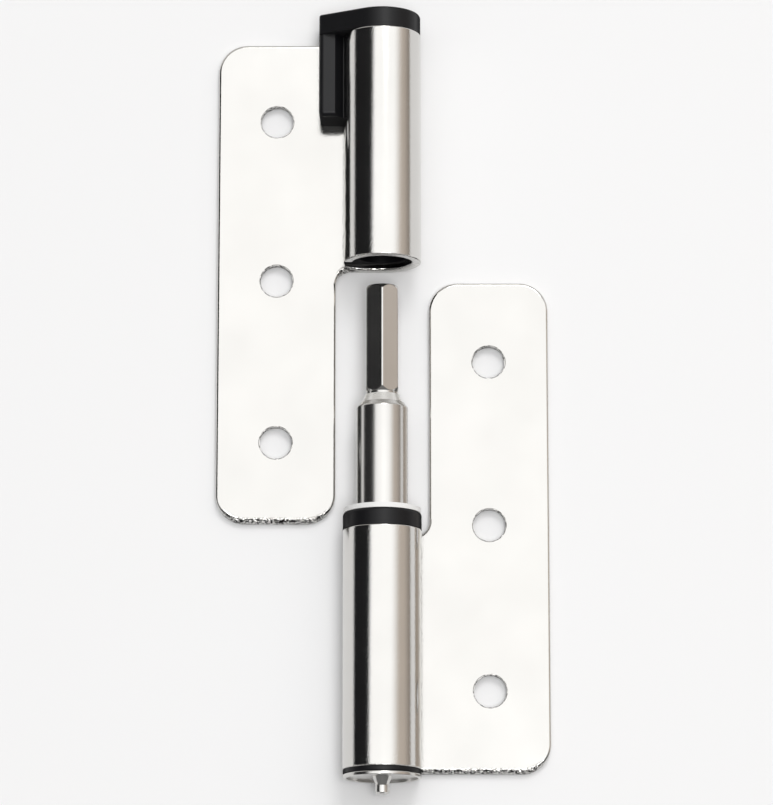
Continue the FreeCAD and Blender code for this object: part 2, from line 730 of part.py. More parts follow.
def make_disc():
    """The pressed disc with a turned down rim that closes the lower end."""
    body = new_body("end_disc")
    hole = S["screw_radius"] + S["seat_gap"]
    outside = S["barrel_radius"] - S["disc_inset"]
    inside = outside - S["rim_wall"]
    top = -S["foot_flange"]
    turn(body, "disc_plate", (
        (hole, DISC_FOOT), (inside, DISC_FOOT), (inside, RIM_FOOT),
        (outside, RIM_FOOT), (outside, top), (hole, top)))
    round_edges(body, "disc_edge", S["disc_round"], lambda e: is_rim(e, outside, top))
    round_edges(body, "rim_edge", S["rim_round"], lambda e: (
        is_rim(e, outside, RIM_FOOT) or is_rim(e, inside, RIM_FOOT)))
    return body


def make_screw():
    """The screw that holds the disc and the cartridge's foot."""
    body = new_body("end_screw")
    waist = DISC_FOOT - S["head_height"]
    end = waist - S["stub_length"]
    tip = TUBE_FOOT + S["screw_grip"]
    turn(body, "screw_body", (
        (ZERO, end), (S["stub_radius"] - S["stub_chamfer"], end),
        (S["stub_radius"], end + S["stub_chamfer"]), (S["stub_radius"], waist),
        (S["waist_radius"], waist), (S["head_radius"], DISC_FOOT),
        (S["screw_radius"], DISC_FOOT), (S["screw_radius"], tip), (ZERO, tip)))
    return body


def build():
    """Make every piece, and return the pieces in the order of the halves."""
    bush_length = KNUCKLE - S["bush_recess"] - BUSH_FOOT
    upper = [make_cap(), make_sleeve("upper_bush", BUSH_FOOT, bush_length,
                                     TUBE + S["running_gap"] * 2)]
    lower = [make_collar(), make_washer(), make_foot_bush(), make_disc(), make_screw(),
             make_tube(), make_bearing(), make_liner(), make_plug(), make_spindle(),
             make_shoe(), make_ring()]
    upper_leaf, lower_leaf = make_leaf("upper_leaf"), make_leaf("lower_leaf")
    place_upper(upper_leaf, on_pin=False)
    place_lower(lower_leaf, on_pin=False)
    for piece in upper:
        place_upper(piece)
    for piece in lower:
        place_lower(piece)
    outside_seat = TUBE_BORE - SEAL_ROOM + S["seat_gap"] / 2
    seals = [make_seal("gland_seal", outside_seat), make_seal("shaft_seal", SHAFT_BORE),
             make_seal("plug_seal", outside_seat)]
    return [upper_leaf, lower_leaf] + upper + lower + seals


def check(pieces):
    """Stop if any object failed or any piece isn't one sound solid."""
    doc.recompute()
    for item in doc.Objects:
        if "Invalid" in item.State or "Error" in item.State:
            raise RuntimeError(f"{item.Label} failed: {item.State}")
    for piece in pieces:
        shape = piece.Shape
        if shape.isNull() or not shape.isValid() or len(shape.Solids) != 1:
            raise RuntimeError(f"{piece.Label} isn't one sound solid")


def write(pieces):
    """Write each piece to a file of its own."""
    os.makedirs("parts", exist_ok=True)
    for piece in pieces:
        piece.Shape.exportStep(f"parts/{piece.Label}.step")
        box = piece.Shape.BoundBox
        print(f"{piece.Label:14s} {piece.Shape.Volume:9.2f} mm3  "
              f"x {box.XMin:7.2f} {box.XMax:7.2f}  y {box.YMin:7.2f} {box.YMax:7.2f}  "
              f"z {box.ZMin:6.2f} {box.ZMax:6.2f}")


all_pieces = build()
check(all_pieces)
write(all_pieces)
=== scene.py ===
"""Dresses the lift off hinge: finishes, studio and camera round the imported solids."""

import logging
import math
from dataclasses import dataclass
from enum import Enum
from typing import Any, Mapping, Optional, Sequence, Union

import bpy
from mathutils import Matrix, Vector, noise
from mathutils.geometry import delaunay_2d_cdt


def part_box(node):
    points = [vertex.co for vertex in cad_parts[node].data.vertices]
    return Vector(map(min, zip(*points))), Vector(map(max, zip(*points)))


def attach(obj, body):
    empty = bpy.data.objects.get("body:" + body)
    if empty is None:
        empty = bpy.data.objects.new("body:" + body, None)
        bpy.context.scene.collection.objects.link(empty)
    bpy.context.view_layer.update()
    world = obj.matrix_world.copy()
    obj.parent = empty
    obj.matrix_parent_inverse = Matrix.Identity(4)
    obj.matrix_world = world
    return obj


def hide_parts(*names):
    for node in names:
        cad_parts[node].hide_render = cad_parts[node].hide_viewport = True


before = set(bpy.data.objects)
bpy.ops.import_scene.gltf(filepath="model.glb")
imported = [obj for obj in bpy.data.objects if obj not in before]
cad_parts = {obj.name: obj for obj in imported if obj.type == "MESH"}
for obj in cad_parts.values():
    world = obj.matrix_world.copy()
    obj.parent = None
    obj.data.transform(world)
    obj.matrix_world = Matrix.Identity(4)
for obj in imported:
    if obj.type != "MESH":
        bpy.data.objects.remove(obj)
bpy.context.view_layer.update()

MM = 0.001

logging.basicConfig(level=logging.INFO, format="%(message)s")
log = logging.getLogger("hinge")

Triple = tuple[float, float, float]
Colour = Triple
Band = tuple[float, float]
Number = Union[int, float]


class Signal:
    """A shader socket that takes part in Python expressions."""

    def __init__(self, graph: "Graph", socket: bpy.types.NodeSocket) -> None:
        """Keep the socket and the graph that it belongs to."""
        self.graph = graph
        self.socket = socket

    def maths(self, operation: str, *others: "Operand") -> "Signal":
        """Return this value put through one Math node.

        Args:
            operation: The Math node's operation.
            others: The operands after this one.

        Returns:
            The node's result.
        """
        return self.graph.maths(operation, self, *others)

    def __add__(self, other: "Operand") -> "Signal":
        """Return the sum."""
        return self.maths("ADD", other)

    def __radd__(self, other: "Operand") -> "Signal":
        """Return the sum."""
        return self.maths("ADD", other)

    def __sub__(self, other: "Operand") -> "Signal":
        """Return the difference."""
        return self.maths("SUBTRACT", other)

    def __rsub__(self, other: "Operand") -> "Signal":
        """Return the difference from a number."""
        return self.graph.maths("SUBTRACT", other, self)

    def __mul__(self, other: "Operand") -> "Signal":
        """Return the product."""
        return self.maths("MULTIPLY", other)

    def __rmul__(self, other: "Operand") -> "Signal":
        """Return the product."""
        return self.maths("MULTIPLY", other)


Operand = Union[Signal, Number]


class Graph:
    """The node tree of one material or of the world."""

    def __init__(self, tree: bpy.types.NodeTree) -> None:
        """Take the tree and empty it."""
        self.tree = tree
        tree.nodes.clear()

    def node(self, kind: str, settings: Optional[Mapping[str, Any]] = None,
             inputs: Optional[Mapping[Any, Any]] = None) -> bpy.types.Node:
        """Make a node of any kind.

        Args:
            kind: The node's type.
            settings: What is set on the node itself, before its sockets.
            inputs: Values or signals for its sockets, by name or number.

        Returns:
            The new node.
        """
        made = self.tree.nodes.new(kind)
        for name, value in (settings or {}).items():
            setattr(made, name, value)
        for name, value in (inputs or {}).items():
            self.feed(made.inputs[name], value)
        return made

    def feed(self, socket: bpy.types.NodeSocket, value: Any) -> None:
        """Link a signal to a socket, or set the socket's own value.

        Args:
            socket: The socket.
            value: A signal, a number, a vector or a colour.
        """
        if isinstance(value, Signal):
            self.tree.links.new(value.socket, socket)
        elif isinstance(value, tuple) and len(value) == 3 and socket.type == "RGBA":
            socket.default_value = (*value, 1.0)
        else:
            socket.default_value = value

    def out(self, made: bpy.types.Node, name: Union[str, int] = 0) -> Signal:
        """Return one output of a node as a signal."""
        return Signal(self, made.outputs[name])

    def maths(self, operation: str, *operands: Operand) -> Signal:
        """Return the result of one Math node."""
        made = self.node("ShaderNodeMath", {"operation": operation},
                         dict(enumerate(operands)))
        return self.out(made)

    def vector(self, operation: str, *operands: Any) -> Signal:
        """Return the result of one Vector Math node."""
        made = self.node("ShaderNodeVectorMath", {"operation": operation},
                         dict(enumerate(operands)))
        return self.out(made)

    def step(self, value: Signal, low: float, high: float) -> Signal:
        """Return a smooth step.

        Args:
            value: What the step is taken of.
            low: Where it is still 0.
            high: Where it has reached 1.

        Returns:
            The step's height, from 0 to 1.
        """
        made = self.node("ShaderNodeMapRange", {"interpolation_type": "SMOOTHSTEP"},
                         {"Value": value, "From Min": low, "From Max": high})
        return self.out(made)

    def mix(self, share: Operand, first: Any, second: Any) -> Signal:
        """Return one colour mixed into another.

        Args:
            share: How much of the second colour shows, from 0 to 1.
            first: The first colour.
            second: The second colour.

        Returns:
            The mixed colour.
        """
        made = self.node("ShaderNodeMix", {"data_type": "RGBA"},
                         {0: share, 6: first, 7: second})
        return self.out(made, 2)

    def noise(self, place: Signal, scale: float, detail: float = 2.0,
              roughness: float = 0.5) -> Signal:
        """Return noise.

        Args:
            place: Where it is read, in metres.
            scale: Its features per metre.
            detail: How many finer layers it has.
            roughness: How strong each finer layer is.

        Returns:
            A value from 0 to 1.
        """
        made = self.node("ShaderNodeTexNoise", {"noise_dimensions": "3D"},
                         {"Vector": place, "Scale": scale, "Detail": detail,
                          "Roughness": roughness})
        return self.out(made, "Fac")


@dataclass(frozen=True)
class Metal:
    """A bare metal finish.

    Attributes:
        name: The material's name.
        colour: Its reflectance.
        roughness: How blurred its reflections are.
        grain: How far the roughness varies.
        grain_size: The size of that variation, in metres.
        stretch: How much longer the grain is along each axis.
        tooth: Depth of its fine relief, in metres.
        patch: How many grains wide its broad patches are.
        dull: Share of the colour that the duller patches have.
        clear: Share of it that the clearer ones have.
    """

    name: str
    colour: Colour
    roughness: float
    grain: float
    grain_size: float
    stretch: Triple
    tooth: float
    patch: float = 40.0
    dull: float = 0.93
    clear: float = 1.04

    def build(self) -> bpy.types.Material:
        """Return the material."""
        material = bpy.data.materials.new(self.name)
        material.use_nodes = True
        graph = Graph(material.node_tree)
        place = graph.out(graph.node("ShaderNodeTexCoord"), "Object")
        drawn = graph.vector("DIVIDE", place, self.stretch)
        grain = graph.noise(drawn, 1.0 / self.grain_size, detail=3.0, roughness=0.6)
        broad = graph.noise(place, 1.0 / (self.patch * self.grain_size))
        roughness = self.roughness + self.grain * (grain + broad - 1.0)
        dark = tuple(c * self.dull for c in self.colour)
        light = tuple(min(1.0, c * self.clear) for c in self.colour)
        bump = graph.node("ShaderNodeBump", inputs={
            "Height": self.relief(graph, place, grain), "Distance": 1.0, "Strength": 1.0})
        shader = graph.node("ShaderNodeBsdfPrincipled", inputs={
            "Metallic": 1.0,
            "Base Color": self.shade(graph, place, graph.mix(broad, dark, light)),
            "Roughness": self.blur(graph, roughness),
            "Normal": graph.out(bump)})
        graph.node("ShaderNodeOutputMaterial", inputs={"Surface": graph.out(shader)})
        return material

    def relief(self, graph: Graph, place: Signal, grain: Signal) -> Signal:
        """Return the height of the fine relief, in metres."""
        return grain * self.tooth

    def shade(self, graph: Graph, place: Signal, colour: Signal) -> Signal:
        """Return the colour over the surface."""
        return colour

    def blur(self, graph: Graph, roughness: Signal) -> Signal:
        """Return the roughness over the surface."""
        return roughness


@dataclass(frozen=True)
class Moulding:
    """A moulded plastic or rubber finish.

    Attributes:
        name: The material's name.
        colour: Its colour.
        roughness: How blurred its gloss is.
        mottle: How far the roughness varies.
        tooth: Depth of its moulded texture, in metres.
        tooth_size: Size of that texture, in metres.
        gloss: Specular level.
        veil: How far the gloss blurs where it is seen at a low angle.
        low_band: The slants that the blur sets in and is full at.
        patch: How many grains wide its worn patches are.
        wear: How much lighter they are.
        worn_band: The noise values that a patch sets in and is full at.
    """

    name: str
    colour: Colour
    roughness: float
    mottle: float
    tooth: float
    tooth_size: float
    gloss: float = 0.5
    veil: float = 0.0
    low_band: Band = (0.5, 0.8)
    patch: float = 30.0
    wear: float = 1.2
    worn_band: Band = (0.45, 0.8)

    def build(self) -> bpy.types.Material:
        """Return the material."""
        material = bpy.data.materials.new(self.name)
        material.use_nodes = True
        graph = Graph(material.node_tree)
        place = graph.out(graph.node("ShaderNodeTexCoord"), "Object")
        fine = graph.noise(place, 1.0 / self.tooth_size, detail=3.0)
        broad = graph.noise(place, 1.0 / (self.patch * self.tooth_size))
        worn = tuple(c * self.wear for c in self.colour)
        bump = graph.node("ShaderNodeBump", inputs={
            "Height": fine * self.tooth, "Distance": 1.0, "Strength": 1.0})
        slant = graph.out(graph.node("ShaderNodeLayerWeight", inputs={"Blend": 0.5}), "Facing")
        shader = graph.node("ShaderNodeBsdfPrincipled", inputs={
            "Base Color": graph.mix(graph.step(broad, *self.worn_band), self.colour, worn),
            "Roughness": (self.mottle * (broad - 0.5) + self.roughness
                          + self.veil * graph.step(slant, *self.low_band)),
            "Specular IOR Level": self.gloss,
            "Normal": graph.out(bump)})
        graph.node("ShaderNodeOutputMaterial", inputs={"Surface": graph.out(shader)})
        return material


@dataclass(frozen=True)
class LeafMetal(Metal):
    """The leaves' tumbled steel, with the torn look of its cut ends and painted shade in their
    hollows.

    Attributes:
        torn_size: Size of the torn grain of a cut end, in metres.
        torn_depth: Depth of that grain, in metres.
        torn_roughness: Roughness that a cut end adds.
        hollow_shade_colour: Colour of the painted shade in the small hollows of a cut end.
        hollow_shade_band: The noise values that the painted hollow shade is full at and ends at.
    """

    torn_size: float = 0.00042
    torn_depth: float = 0.00036
    torn_roughness: float = 0.03
    hollow_shade_colour: Colour = (0.02, 0.02, 0.02)
    hollow_shade_band: Band = (0.44, 0.5)

    def relief(self, graph: Graph, place: Signal, grain: Signal) -> Signal:
        """Return the height of the fine relief, in metres."""
        torn = self.torn(graph, place)
        return grain * self.tooth + self.cut(graph) * torn * self.torn_depth

    def shade(self, graph: Graph, place: Signal, colour: Signal) -> Signal:
        """Return the colour, with painted shade darkening the hollows of the cut ends."""
        # Painted shade: the hollows of the torn grain are darkened to a near-black colour.
        hollow_shade = 1.0 - graph.step(self.torn(graph, place), *self.hollow_shade_band)
        return graph.mix(self.cut(graph) * hollow_shade, colour, self.hollow_shade_colour)

    def blur(self, graph: Graph, roughness: Signal) -> Signal:
        """Return the roughness, raised at the cut ends."""
        return roughness + self.cut(graph) * self.torn_roughness

    def torn(self, graph: Graph, place: Signal) -> Signal:
        """Return the torn grain of a cut end, from 0 to 1."""
        return graph.noise(place, 1.0 / self.torn_size, detail=1.0)

    @staticmethod
    def cut(graph: Graph) -> Signal:
        """Return how far a place lies in a cut end, from 0 to 1."""
        read = graph.node("ShaderNodeAttribute", {"attribute_name": Pressing.CUT})
        return graph.out(read, "Fac")


class Finish(Enum):
    """The finishes of the hinge, by the slot that they fill."""

    LEAF_STEEL = LeafMetal(
        "leaf_steel", colour=(0.665, 0.655, 0.633), roughness=0.1, grain=0.04,
        grain_size=3e-4, stretch=(1.0, 1.5, 1.0), tooth=1.7e-5)
    BRIGHT_STEEL = Metal(
        "bright_steel", colour=(0.63, 0.62, 0.6), roughness=0.2, grain=0.04,
        grain_size=2e-4, stretch=(1.0, 3.0, 1.0), tooth=1e-6)
    GREY_METAL = Metal(
        "grey_metal", colour=(0.92, 0.91, 0.89), roughness=0.3, grain=0.1,
        grain_size=2e-4, stretch=(1.0, 1.0, 1.0), tooth=3e-6)
    BLACK_PLASTIC = Moulding(
        "black_plastic", colour=(0.005, 0.005, 0.006), roughness=0.38, mottle=0.06,
        tooth=2e-6, tooth_size=2e-4, gloss=0.25, veil=0.6)
    WHITE_PLASTIC = Moulding(
        "white_plastic", colour=(0.8, 0.8, 0.79), roughness=0.4, mottle=0.1,
        tooth=1e-6, tooth_size=2e-4)
    SEAL_RUBBER = Moulding(
        "seal_rubber", colour=(0.02, 0.02, 0.02), roughness=0.5, mottle=0.1,
        tooth=2e-6, tooth_size=2e-4)


class Side(Enum):
    """The sides of the sheet."""

    FRONT = 1
    BACK = -1


def smooth(value: float, band: Band) -> float:
    """Return 0 below a band, 1 above it and an eased share within it."""
    share = min(1.0, max(0.0, (value - band[0]) / (band[1] - band[0])))
    return share * share * (3 - 2 * share)


@dataclass(frozen=True)
class EdgePoint:
    """One point of the blank's outline.

    Attributes:
        u: Its place across the blank, in millimetres.
        v: Its place along the pin, in millimetres.
        nu: Outward direction across the blank.
        nv: Outward direction along the pin.
        roll: Radius of the rolled over front edge there.
        cut: How far the edge there is a torn cut end, from 0 to 1.
    """

    u: float
    v: float
    nu: float
    nv: float
    roll: float
    cut: float


@dataclass
class Pressing:
    """The pressed leaf: a flat blank whose strip is rolled round the pin.

    Sizes are in millimetres. Across the blank, u is 0 where the strip starts
    to curl and runs to the leaf's outer edge; v runs along the pin from the
    end that both the leaf and its knuckle start at; w is the height over the
    leaf's back.

    Attributes:
        torn_end: The torn end: 1 for the one that v runs to, -1 for the one
            that it starts at.
        length: The leaf, along the pin.
        knuckle: The knuckle, along the pin.
        outer: The leaf's outer edge, from the pin's axis.
        inner: The leaf's inner edge above the knuckle, from the pin's axis.
        sheet: The sheet's thickness.
        barrel: The knuckle's outer radius.
        corner: The leaf's corners.
        notch: The inner corner above the knuckle.
        curl_corner: The corners of the curl's free end.
        curl_turn: How far the strip is rolled, in radians.
        hole_radius: The screw holes.
        hole_line: The line of the holes, from the pin's axis.
        hole_end: The outer holes, from the leaf's ends.
        hole_count: How many holes there are.
        hole_break: Rounding of the holes' front edge.
        hole_tear: How far the holes' walls are torn, and so how much painted hollow shade they
            carry, from 0 to 1.
        hole_steps: Points round each hole.
        back_break: Rounding of every edge at the back.
        cut_roll: Rounding of the torn end's front edge.
        side_roll: Rounding of the other front edges.
        support: Width of the flat ring beside each rounding.
        fine_step: Spacing of points along the ends.
        coarse_step: Spacing of points along the sides.
        bend_step: Spacing of points round the corners.
        front_steps: Steps across the front rounding.
        wall_steps: Steps down the upright wall.
        back_steps: Steps across the back rounding.
        tear_facing: How squarely an edge faces the torn end where its tear
            sets in and is full.
        tear_span: Places across the blank where the tear sets in and is full.
        tear_least: What is left of the tear on the knuckle.
        tear_depth: Depth of the torn surface.
        tear_length: Size of its lumps.
        tear_lean: How far its lumps lean along the edge.
        tear_fine: How much finer its second layer is.
        tear_fine_share: How strong that layer is.
        tear_slope: Sine of the slopes that it sets in and is full at.
        tear_gain: How fast the torn look grows with that sine.
        wall_shift: Offset of the wall's lumps from the rounding's.
        seat: Least depth of a torn surface under the plain edge.
        grid_turn: Angle between the columns of points in the curl, in degrees.
        grid_rows: Points in each column.
        grid_margin: Their distance from the knuckle's ends.
        grid_end: Their distance from the curl's free end.
        merge: Distance under which the triangulation joins points.
    """

    CUT = "cut_end"

    torn_end: float
    length: float = 102.0
    knuckle: float = 48.8
    outer: float = 34.2
    inner: float = 9.6
    sheet: float = 2.0
    barrel: float = 8.0
    corner: float = 6.0
    notch: float = 3.0
    curl_corner: float = 1.4
    curl_turn: float = 1.5 * math.pi
    hole_radius: float = 3.3
    hole_line: float = 21.9
    hole_end: float = 16.8
    hole_count: int = 3
    hole_break: float = 0.12
    hole_tear: float = 1.0
    hole_steps: int = 72
    back_break: float = 0.3
    cut_roll: float = 1.15
    side_roll: float = 0.6
    support: float = 0.1
    fine_step: float = 0.12
    coarse_step: float = 1.0
    bend_step: float = 0.18
    front_steps: int = 10
    wall_steps: int = 4
    back_steps: int = 4
    tear_facing: Band = (0.45, 0.95)
    tear_span: Band = (4.0, 7.0)
    tear_least: float = 0.25
    tear_depth: float = 0.14
    tear_length: float = 0.5
    tear_lean: float = 3.0
    tear_fine: float = 2.3
    tear_fine_share: float = 0.5
    tear_slope: Band = (0.08, 0.48)
    tear_gain: float = 3.0
    wall_shift: float = -1.0
    seat: float = 0.012
    grid_turn: float = 2.5
    grid_rows: int = 9
    grid_margin: float = 2.2
    grid_end: float = 2.0
    merge: float = 1e-6

    def __post_init__(self) -> None:
        """Work out what follows from the sizes, and start an empty mesh."""
        self.middle = self.barrel - self.sheet / 2
        self.curl = self.curl_turn * self.middle
        self.vertices: list[Vector] = []
        self.normals: list[Vector] = []
        self.cuts: list[float] = []
        self.faces: list[tuple[int, ...]] = []

    def edge_point(self, u: float, v: float, nu: float, nv: float) -> EdgePoint:
        """Return a point of the outline, with its rounding and its tear.

        Args:
            u: Its place across the blank.
            v: Its place along the pin.
            nu: Outward direction across the blank.
            nv: Outward direction along the pin.

        Returns:
            The point.
        """
        end = smooth(nv * self.torn_end, self.tear_facing)
        flat = smooth(u, self.tear_span)
        roll = self.side_roll + (self.cut_roll - self.side_roll) * end * flat
        cut = end * (self.tear_least + (1 - self.tear_least) * flat)
        return EdgePoint(u, v, nu, nv, roll, cut)

    def straight(self, start: Band, end: Band, facing: Band, step: float) -> list[EdgePoint]:
        """Return points along a straight edge, without its last one.

        Args:
            start: Where the edge starts.
            end: Where it ends.
            facing: The direction that it faces.
            step: The spacing of its points.

        Returns:
            The points, in order.
        """
        count = max(1, round(math.dist(start, end) / step))
        return [self.edge_point(start[0] + (end[0] - start[0]) * i / count,
                                start[1] + (end[1] - start[1]) * i / count, *facing)
                for i in range(count)]

    def bend(self, centre: Band, radius: float, first: float, last: float,
             side: float = 1.0) -> list[EdgePoint]:
        """Return points along a rounded corner, without its last one.

        Args:
            centre: The corner's centre.
            radius: Its radius.
            first: The angle that it starts at, in degrees.
            last: The angle that it ends at, in degrees.
            side: 1 where the edge faces away from the centre, -1 where it faces it.

        Returns:
            The points, in order.
        """
        count = max(4, round(radius * math.radians(abs(last - first)) / self.bend_step))
        points = []
        for i in range(count):
            angle = math.radians(first + (last - first) * i / count)
            way = (math.cos(angle), math.sin(angle))
            points.append(self.edge_point(centre[0] + radius * way[0],
                                          centre[1] + radius * way[1],
                                          side * way[0], side * way[1]))
        return points

    def outline(self) -> list[EdgePoint]:
        """Return the blank's outline, counterclockwise from the curl's free end."""
        far, small, big = -self.curl, self.curl_corner, self.corner
        fine, coarse = self.fine_step, self.coarse_step
        top, end, out, inn = self.knuckle, self.length, self.outer, self.inner
        return [
            *self.straight((far + small, 0), (out - big, 0), (0, -1), fine),
            *self.bend((out - big, big), big, -90, 0),
            *self.straight((out, big), (out, end - big), (1, 0), coarse),
            *self.bend((out - big, end - big), big, 0, 90),
            *self.straight((out - big, end), (inn + big, end), (0, 1), fine),
            *self.bend((inn + big, end - big), big, 90, 180),
            *self.straight((inn, end - big), (inn, top + self.notch), (-1, 0), coarse),
            *self.bend((inn - self.notch, top + self.notch), self.notch, 0, -90, -1.0),
            *self.straight((inn - self.notch, top), (far + small, top), (0, 1), fine),
            *self.bend((far + small, top - small), small, 90, 180),
            *self.straight((far, top - small), (far, small), (-1, 0), coarse),
            *self.bend((far + small, small), small, 180, 270),
        ]

    def hole(self, v: float) -> list[EdgePoint]:
        """Return the rim of a screw hole, clockwise.

        Args:
            v: The level of its centre.

        Returns:
            The points, in order.
        """
        points = []
        for i in range(self.hole_steps):
            angle = -2 * math.pi * i / self.hole_steps
            way = (math.cos(angle), math.sin(angle))
            # The holes' walls count as torn ends, which also gives them painted shade in their
            # hollows.
            points.append(EdgePoint(self.hole_line + self.hole_radius * way[0],
                                    v + self.hole_radius * way[1],
                                    -way[0], -way[1], self.hole_break, self.hole_tear))
        return points

    def add(self, u: float, v: float, w: float, facing: Triple, cut: float) -> int:
        """Add a vertex of the blank, bent into place.

        Args:
            u: Its place across the blank.
            v: Its place along the pin.
            w: Its height over the back.
            facing: The surface's direction there, in the blank.
            cut: How far it lies in a cut end, from 0 to 1.

        Returns:
            The vertex's number.
        """
        nu, nv, nw = facing
        if u >= 0:
            place, normal = Vector((u, v, w)), Vector((nu, nv, nw))
        else:
            angle = self.curl_turn + u / self.middle
            c, s, radius = math.cos(angle), math.sin(angle), self.barrel - w
            place = Vector((radius * c, v, self.barrel + radius * s))
            normal = Vector((-nu * s - nw * c, nv, nu * c - nw * s))
        self.vertices.append(place)
        self.normals.append(normal.normalized())
        self.cuts.append(cut)
        return len(self.vertices) - 1

    def torn(self, point: EdgePoint, depth: float) -> float:
        """Return how a cut end's surface is torn.

        Args:
            point: The rim's point.
            depth: How far round the rim the surface lies.

        Returns:
            The surface's rise there, which is always negative.
        """
        leant = point.u + self.tear_lean * point.v
        place = Vector((leant, point.v, depth)) / self.tear_length
        rough = noise.noise(place) + self.tear_fine_share * noise.noise(place * self.tear_fine)
        return -self.tear_depth * abs(rough) - self.seat

    def ring(self, points: Sequence[EdgePoint], slope: float, side: Side) -> list[int]:
        """Add one ring of the rounded rim.

        Args:
            points: The rim's points.
            slope: The angle that the ring faces out by, in degrees.
            side: The side of the sheet.

        Returns:
            The numbers of its vertices.
        """
        s, c = math.sin(math.radians(slope)), math.cos(math.radians(slope))
        low, high = self.tear_slope
        fade = min(1.0, max(0.0, (s - low) / (high - low)))
        front = side is Side.FRONT
        up = c * side.value
        numbers = []
        for p in points:
            radius = p.roll if front else self.back_break
            inset, drop = radius * (1 - s), radius * (1 - c)
            w = self.sheet - drop if front else drop
            rise = p.cut * fade * self.torn(p, w + (radius - inset)) if p.cut else 0.0
            out = s * rise - inset
            numbers.append(self.add(
                p.u + p.nu * out, p.v + p.nv * out, max(0.0, w + up * rise),
                (p.nu * s, p.nv * s, up), p.cut * min(1.0, self.tear_gain * s)))
        return numbers

    def wall(self, points: Sequence[EdgePoint], share: float) -> list[int]:
        """Add one ring of the upright wall.

        Args:
            points: The rim's points.
            share: How far down the wall the ring lies, from 0 to 1.

        Returns:
            The numbers of its vertices.
        """
        numbers = []
        for p in points:
            high, low = self.sheet - p.roll, self.back_break
            w = high + (low - high) * share
            rise = p.cut * self.torn(p, w + self.wall_shift) if p.cut else 0.0
            numbers.append(self.add(p.u + p.nu * rise, p.v + p.nv * rise, w,
                                    (p.nu, p.nv, 0.0), p.cut))
        return numbers

    def flat_place(self, point: EdgePoint, side: Side) -> Band:
        """Return where the flat ring beside the rounded rim passes a point of it."""
        inset = (point.roll if side is Side.FRONT else self.back_break) + self.support
        return point.u - point.nu * inset, point.v - point.nv * inset

    def add_flat(self, place: Band, side: Side) -> int:
        """Add a vertex of a flat face, and return its number."""
        height = self.sheet if side is Side.FRONT else 0.0
        return self.add(*place, height, (0.0, 0.0, float(side.value)), 0.0)

    def rim(self, points: Sequence[EdgePoint]) -> dict[Side, list[int]]:
        """Add a whole rim, with the flat rings on either side of it.

        Args:
            points: The rim's points.

        Returns:
            The numbers of the flat rings' vertices, by side.
        """
        front, back, wall = self.front_steps, self.back_steps, self.wall_steps
        rings = [[self.add_flat(self.flat_place(p, Side.FRONT), Side.FRONT) for p in points]]
        rings += [self.ring(points, 90.0 * i / front, Side.FRONT) for i in range(front + 1)]
        rings += [self.wall(points, i / wall) for i in range(1, wall)]
        rings += [self.ring(points, 90.0 * i / back, Side.BACK) for i in range(back, -1, -1)]
        rings.append([self.add_flat(self.flat_place(p, Side.BACK), Side.BACK) for p in points])
        count = len(points)
        for a, b in zip(rings, rings[1:]):
            for i in range(count):
                j = (i + 1) % count
                self.faces.append((a[i], b[i], b[j], a[j]))
        return {Side.FRONT: rings[0], Side.BACK: rings[-1]}

    def face(self, loops: Sequence[Sequence[tuple[int, Band]]], side: Side,
             centres: Sequence[float]) -> None:
        """Fill one side of the sheet between its rims.

        Args:
            loops: The rims' flat rings, as vertices with their places.
            side: The side of the sheet.
            centres: Levels of the screw holes' centres.
        """
        numbers, places, edges = [], [], []
        for loop in loops:
            first = len(numbers)
            for i, (number, place) in enumerate(loop):
                numbers.append(number)
                places.append(Vector(place))
                edges.append((first + i, first + (i + 1) % len(loop)))
        turn = self.middle * math.radians(self.grid_turn)
        for column in range(int((self.curl - self.grid_end) / turn)):
            for row in range(self.grid_rows):
                reach = self.knuckle - 2 * self.grid_margin
                place = (-turn * column, self.grid_margin + reach * row / (self.grid_rows - 1))
                numbers.append(self.add_flat(place, side))
                places.append(Vector(place))
        made = delaunay_2d_cdt(places, edges, [], 1, self.merge)
        source = [origins[0] for origins in made[3]]
        for triangle in made[2]:
            a, b, c = (made[0][i] for i in triangle)
            middle = (a + b + c) / 3
            if any((middle - Vector((self.hole_line, v))).length < self.hole_radius
                   for v in centres):
                continue
            corners = [numbers[source[i]] for i in triangle]
            if (b - a).cross(c - a) * side.value <= 0:
                corners.reverse()
            self.faces.append(tuple(corners))

    def build(self, name: str) -> bpy.types.Object:
        """Build the leaf beside the pin, in metres.

        Args:
            name: Its name.

        Returns:
            The new object.
        """
        pitch = (self.length - 2 * self.hole_end) / (self.hole_count - 1)
        centres = [self.hole_end + pitch * i for i in range(self.hole_count)]
        rims = [self.outline(), *(self.hole(v) for v in centres)]
        rings = [self.rim(points) for points in rims]
        for side in Side:
            loops = [[(number, self.flat_place(p, side)) for number, p in zip(ring[side], points)]
                     for points, ring in zip(rims, rings)]
            self.face(loops, side, centres)
        mesh = bpy.data.meshes.new(name)
        mesh.from_pydata([v * MM for v in self.vertices], [], self.faces)
        mesh.polygons.foreach_set("use_smooth", [True] * len(mesh.polygons))
        cut_ends = mesh.attributes.new(self.CUT, "FLOAT", "POINT")
        cut_ends.data.foreach_set("value", self.cuts)
        found = [Vector(n.vector) for n in mesh.vertex_normals]
        mesh.normals_split_custom_set_from_vertices([
            found[i] if cut else self.normals[i] for i, cut in enumerate(self.cuts)])
        leaf = bpy.data.objects.new(name, mesh)
        bpy.context.scene.collection.objects.link(leaf)
        return leaf


